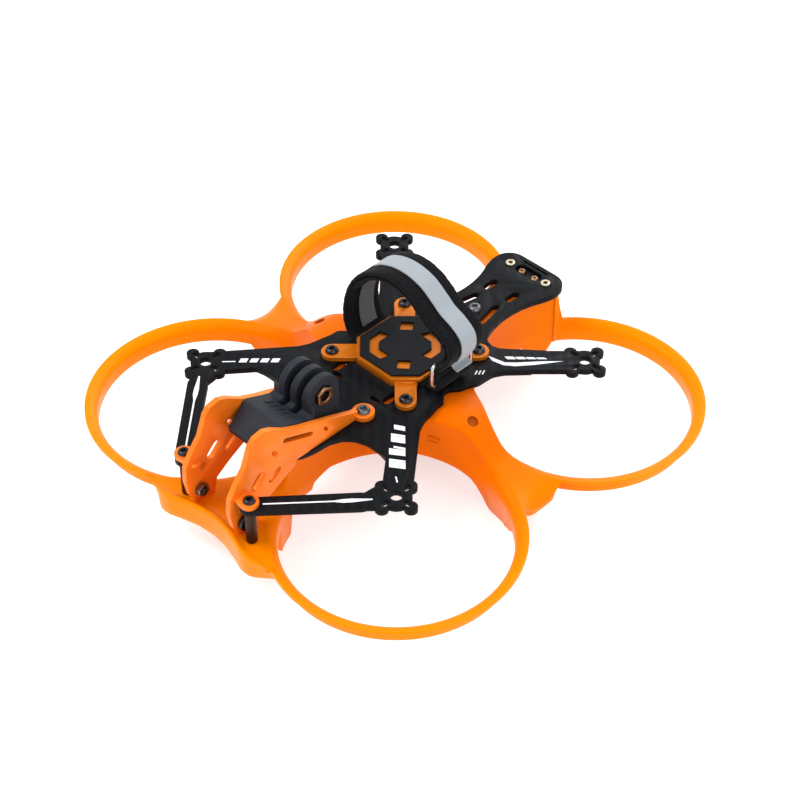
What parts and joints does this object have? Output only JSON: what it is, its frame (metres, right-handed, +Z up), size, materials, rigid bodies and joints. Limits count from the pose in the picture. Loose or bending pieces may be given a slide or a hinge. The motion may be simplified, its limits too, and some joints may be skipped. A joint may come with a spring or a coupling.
{
  "type": "ducted quadcopter racing frame",
  "caption": "Ducted quadcopter frame: orange duct guard under a carbon plate, with action camera mount, side plates and battery strap.",
  "frame": {"origin": "centre of the object's box, on the ground that the feet stand on", "axes": "+Z up, nose towards -Y, the pilot's left towards +X"},
  "size_m": [0.2146, 0.2146, 0.0895],
  "materials": {
    "duct_plastic": "semi-gloss moulding, slightly translucent",
    "carbon_plate": "carbon fibre laminate, matt",
    "side_plate_orange": "satin orange anodising",
    "black_steel": "black oxide",
    "steel": "plain steel",
    "post_metal": "dark brown anodising",
    "eyelet_metal": "nickel-plated brass",
    "slate_plastic": "matt flexible print",
    "pad_rubber": "matt rubber",
    "anodised_orange": "dark orange anodising, bright chamfers",
    "strap_webbing": "black loop fabric",
    "grip_webbing": "silver-grey woven strip"
  },
  "bodies": {
    "frame": {"duct_ring_front_left": "duct_plastic", "duct_ring_front_right": "duct_plastic", "duct_ring_rear_left": "duct_plastic", "duct_ring_rear_right": "duct_plastic", "duct_hull": "duct_plastic", "main_plate": "carbon_plate", "side_plate_left": "side_plate_orange", "side_plate_right": "side_plate_orange", "bracket_screw_front_left": "black_steel", "bracket_screw_rear_left": "black_steel", "bracket_screw_front_right": "black_steel", "bracket_screw_rear_right": "black_steel", "side_plate_screw_front_left": "black_steel", "side_plate_screw_front_right": "black_steel", "side_bolt_left": "black_steel", "side_bolt_right": "black_steel", "side_plate_screw_rear_left": "steel", "side_plate_screw_rear_right": "steel", "side_nut_left": "steel", "side_nut_right": "steel", "tail_standoff_screw": "steel", "tail_screw_left": "steel", "tail_screw_right": "steel", "action_cam_nut": "steel", "front_post_left": "post_metal", "front_post_right": "post_metal", "tail_eyelet_left": "eyelet_metal", "tail_eyelet_right": "eyelet_metal", "action_cam_mount": "slate_plastic", "battery_pad": "pad_rubber", "tail_insert": "pad_rubber", "battery_bracket": "anodised_orange", "battery_strap": "strap_webbing", "strap_sewn_end": "strap_webbing", "strap_grip_strip": "grip_webbing", "strap_pull_tab": "grip_webbing"},
    "buckle": {"strap_buckle": "steel"}
  },
  "joints": [
    {"name": "buckle_hinge", "type": "hinge", "parent": "frame", "child": "buckle", "pos_m": [0.0262, 0.0058, 0.0474], "axis": [0, 1, 0], "range_deg": [-15, 4]}
  ]
}
